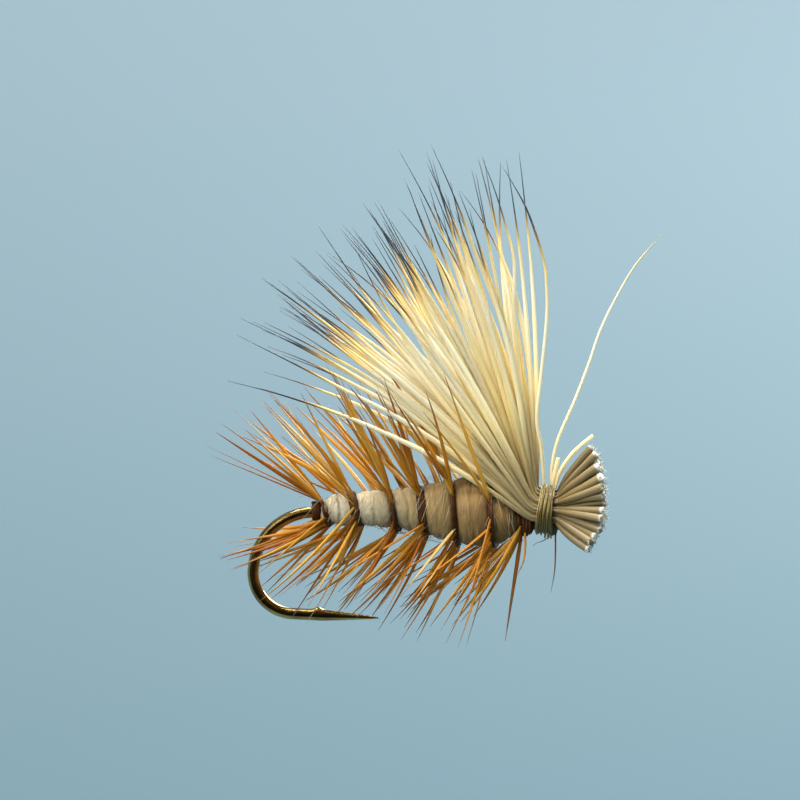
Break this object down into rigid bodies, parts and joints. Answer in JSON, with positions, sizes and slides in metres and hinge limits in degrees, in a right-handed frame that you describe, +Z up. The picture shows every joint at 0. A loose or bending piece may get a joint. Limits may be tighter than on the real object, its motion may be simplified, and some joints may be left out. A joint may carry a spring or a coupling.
{
  "type": "dry fly",
  "caption": "Caddis style dry fly on a ring-eye hook: dubbed body, palmered hackle, hair wing swept up and back, thread collar and a trimmed hair head.",
  "frame": {"origin": "centre of the hook's eye", "axes": "+X forward out of the eye along the shank, +Z up towards the wing, and +Y to the fly's left side; the hook's bend and point lie in the XZ plane below the shank"},
  "size_m": [0.0176, 0.0108, 0.0202],
  "materials": {
    "bronze_wire": "gloss",
    "tying_thread": "satin",
    "dubbing": "matte",
    "hackle_quill": "satin",
    "hackle_barb": "satin",
    "wing_hair": "satin"
  },
  "bodies": {
    "root": {"hook": "bronze_wire", "thread_base": "tying_thread", "whip_finish": "tying_thread", "thread_collar": "tying_thread", "thread_tag": "tying_thread", "dubbed_body": "dubbing", "hackle_stem": "hackle_quill", "stray_barbs": "hackle_barb", "hackle_barbs_turn_1": "hackle_barb", "hackle_barbs_turn_2": "hackle_barb", "hackle_barbs_turn_3": "hackle_barb", "hackle_barbs_turn_4": "hackle_barb", "hackle_barbs_turn_5": "hackle_barb", "hackle_barbs_turn_6": "hackle_barb", "hackle_barbs_turn_7": "hackle_barb", "wing_hair_near_side": "wing_hair", "wing_hair_far_side": "wing_hair", "wing_hair_bottom": "wing_hair", "wing_hair_middle": "wing_hair", "wing_hair_top": "wing_hair", "forward_stray_hair": "wing_hair", "wavy_stray_hair": "wing_hair", "hair_stubs": "wing_hair"}
  },
  "joints": []
}
